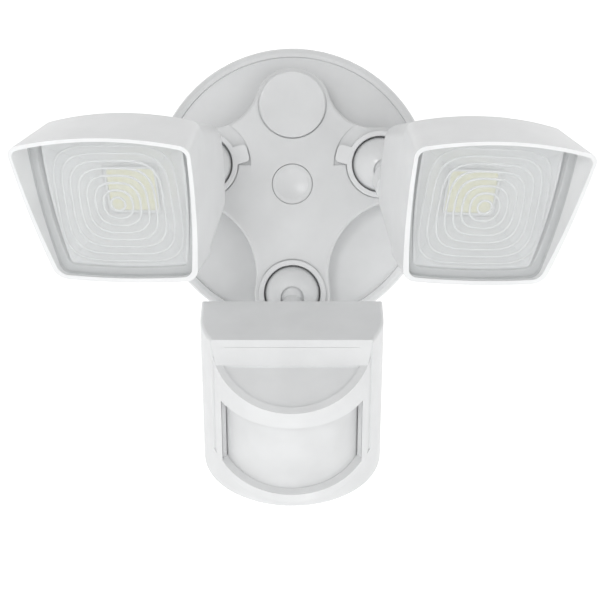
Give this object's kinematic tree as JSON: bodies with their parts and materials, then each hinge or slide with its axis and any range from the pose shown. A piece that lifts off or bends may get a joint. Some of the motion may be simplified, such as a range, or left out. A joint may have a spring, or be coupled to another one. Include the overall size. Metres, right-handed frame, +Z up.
{
  "type": "motion sensor floodlight",
  "caption": "Round wall base carrying adjustable visored lamp heads on ball joints and a hooded motion sensor head below.",
  "frame": {"origin": "centre of the round base's wall face", "axes": "+Y into the wall, so the lamps face -Y; +Z up; +X to the right as seen from the front"},
  "size_m": [0.2458, 0.1207, 0.2069],
  "materials": {
    "base_white": "satin powder coat",
    "can_steel": "nickel can",
    "circuit_board": "solder mask",
    "clear_lens": "clear moulded cover",
    "driver_case": "matte",
    "gasket": "soft foam and silicone",
    "green_screw": "green dyed",
    "heat_sink": "cast",
    "knob_grey": "matte",
    "lamp_white": "satin powder coat",
    "led_board": "white coated board",
    "milky_window": "translucent milky",
    "phosphor": "soft yellow phosphor",
    "photocell": "matte",
    "red_led": "tinted",
    "reflector_white": "bright white",
    "screw_steel": "satin",
    "sensor_white": "fine satin",
    "zinc_steel": "zinc plated sheet"
  },
  "bodies": {
    "base": {"back_plate": "zinc_steel", "base_housing": "base_white", "centre_bolt_plug": "base_white", "centre_mount_bolt": "screw_steel", "crossbar_bracket": "zinc_steel", "driver_case": "driver_case", "ground_screw": "green_screw", "left_lamp_seat_ring": "lamp_white", "right_lamp_seat_ring": "lamp_white", "sensor_seat_ring": "sensor_white", "top_cap_nut": "base_white", "top_port_cap": "base_white", "wall_gasket": "gasket"},
    "left_lamp_ring": {"left_lamp_lock_ring": "lamp_white"},
    "left_lamp_cup": {"left_lamp_swivel_cup": "lamp_white", "left_lamp_pivot_pin": "screw_steel"},
    "left_lamp_ball": {"left_lamp_ball_stem": "lamp_white", "left_lamp_neck_nut": "screw_steel"},
    "left_lamp_head": {"left_lamp_heat_sink": "heat_sink", "left_lamp_led_board": "led_board", "left_lamp_led_chip": "phosphor", "left_lamp_lens": "clear_lens", "left_lamp_lens_gasket": "gasket", "left_lamp_rear_housing": "lamp_white", "left_lamp_reflector": "reflector_white", "left_lamp_visor_bezel": "lamp_white"},
    "right_lamp_ring": {"right_lamp_lock_ring": "lamp_white"},
    "right_lamp_cup": {"right_lamp_swivel_cup": "lamp_white", "right_lamp_pivot_pin": "screw_steel"},
    "right_lamp_ball": {"right_lamp_ball_stem": "lamp_white", "right_lamp_neck_nut": "screw_steel"},
    "right_lamp_head": {"right_lamp_heat_sink": "heat_sink", "right_lamp_led_board": "led_board", "right_lamp_led_chip": "phosphor", "right_lamp_lens": "clear_lens", "right_lamp_lens_gasket": "gasket", "right_lamp_rear_housing": "lamp_white", "right_lamp_reflector": "reflector_white", "right_lamp_visor_bezel": "lamp_white"},
    "sensor_ring": {"sensor_lock_ring": "sensor_white"},
    "sensor_cup": {"sensor_swivel_cup": "sensor_white", "sensor_pivot_pin": "screw_steel"},
    "sensor_ball": {"sensor_ball_stem": "sensor_white", "sensor_neck_nut": "screw_steel"},
    "sensor_head": {"sensor_case_screw_left": "screw_steel", "sensor_case_screw_right": "screw_steel", "sensor_circuit_board": "circuit_board", "sensor_front_hood": "sensor_white", "sensor_photocell": "photocell", "sensor_pir_element": "can_steel", "sensor_rear_housing": "sensor_white", "sensor_status_led": "red_led", "sensor_window": "milky_window", "sensor_window_frame": "sensor_white"},
    "sensor_knob_range": {"sensor_knob_range": "knob_grey"},
    "sensor_knob_time": {"sensor_knob_time": "knob_grey"}
  },
  "joints": [
    {"name": "left_lamp_lock", "type": "hinge", "parent": "base", "child": "left_lamp_ring", "pos_m": [-0.04, -0.026, 0.01], "axis": [0, 1, 0], "range_deg": [-45, 0]},
    {"name": "left_lamp_swivel", "type": "hinge", "parent": "base", "child": "left_lamp_cup", "pos_m": [-0.04, -0.026, 0.01], "axis": [0, 1, 0], "range_deg": [-30, 30]},
    {"name": "left_lamp_tilt", "type": "hinge", "parent": "left_lamp_cup", "child": "left_lamp_ball", "pos_m": [-0.04, -0.026, 0.01], "axis": [-0.8448, 0, 0.535], "range_deg": [-14, 12]},
    {"name": "left_lamp_twist", "type": "hinge", "parent": "left_lamp_ball", "child": "left_lamp_head", "pos_m": [-0.04, -0.026, 0.01], "axis": [-0.2716, -0.8615, -0.4289], "range_deg": [-9, 9]},
    {"name": "right_lamp_lock", "type": "hinge", "parent": "base", "child": "right_lamp_ring", "pos_m": [0.04, -0.026, 0.01], "axis": [0, 1, 0], "range_deg": [0, 45]},
    {"name": "right_lamp_swivel", "type": "hinge", "parent": "base", "child": "right_lamp_cup", "pos_m": [0.04, -0.026, 0.01], "axis": [0, 1, 0], "range_deg": [-30, 30]},
    {"name": "right_lamp_tilt", "type": "hinge", "parent": "right_lamp_cup", "child": "right_lamp_ball", "pos_m": [0.04, -0.026, 0.01], "axis": [-0.8648, 0, -0.5021], "range_deg": [-14, 12]},
    {"name": "right_lamp_twist", "type": "hinge", "parent": "right_lamp_ball", "child": "right_lamp_head", "pos_m": [0.04, -0.026, 0.01], "axis": [0.2527, -0.8641, -0.4352], "range_deg": [-9, 9]},
    {"name": "sensor_lock", "type": "hinge", "parent": "base", "child": "sensor_ring", "pos_m": [0, -0.026, -0.0488], "axis": [0, 1, 0], "range_deg": [-45, 0]},
    {"name": "sensor_swivel", "type": "hinge", "parent": "base", "child": "sensor_cup", "pos_m": [0, -0.026, -0.0488], "axis": [0, 1, 0], "range_deg": [-15, 15]},
    {"name": "sensor_tilt", "type": "hinge", "parent": "sensor_cup", "child": "sensor_ball", "pos_m": [0, -0.026, -0.0488], "axis": [-1, 0, 0], "range_deg": [-14, 12]},
    {"name": "sensor_twist", "type": "hinge", "parent": "sensor_ball", "child": "sensor_head", "pos_m": [0, -0.026, -0.0488], "axis": [0, -0.866, -0.5], "range_deg": [-20, 20]},
    {"name": "sensor_knob_time_turn", "type": "hinge", "parent": "sensor_head", "child": "sensor_knob_time", "pos_m": [-0.01, -0.02959, -0.12315], "axis": [0, -0.5, 0.866], "range_deg": [-135, 135]},
    {"name": "sensor_knob_range_turn", "type": "hinge", "parent": "sensor_head", "child": "sensor_knob_range", "pos_m": [0.01, -0.02959, -0.12315], "axis": [0, -0.5, 0.866], "range_deg": [-135, 135]}
  ]
}
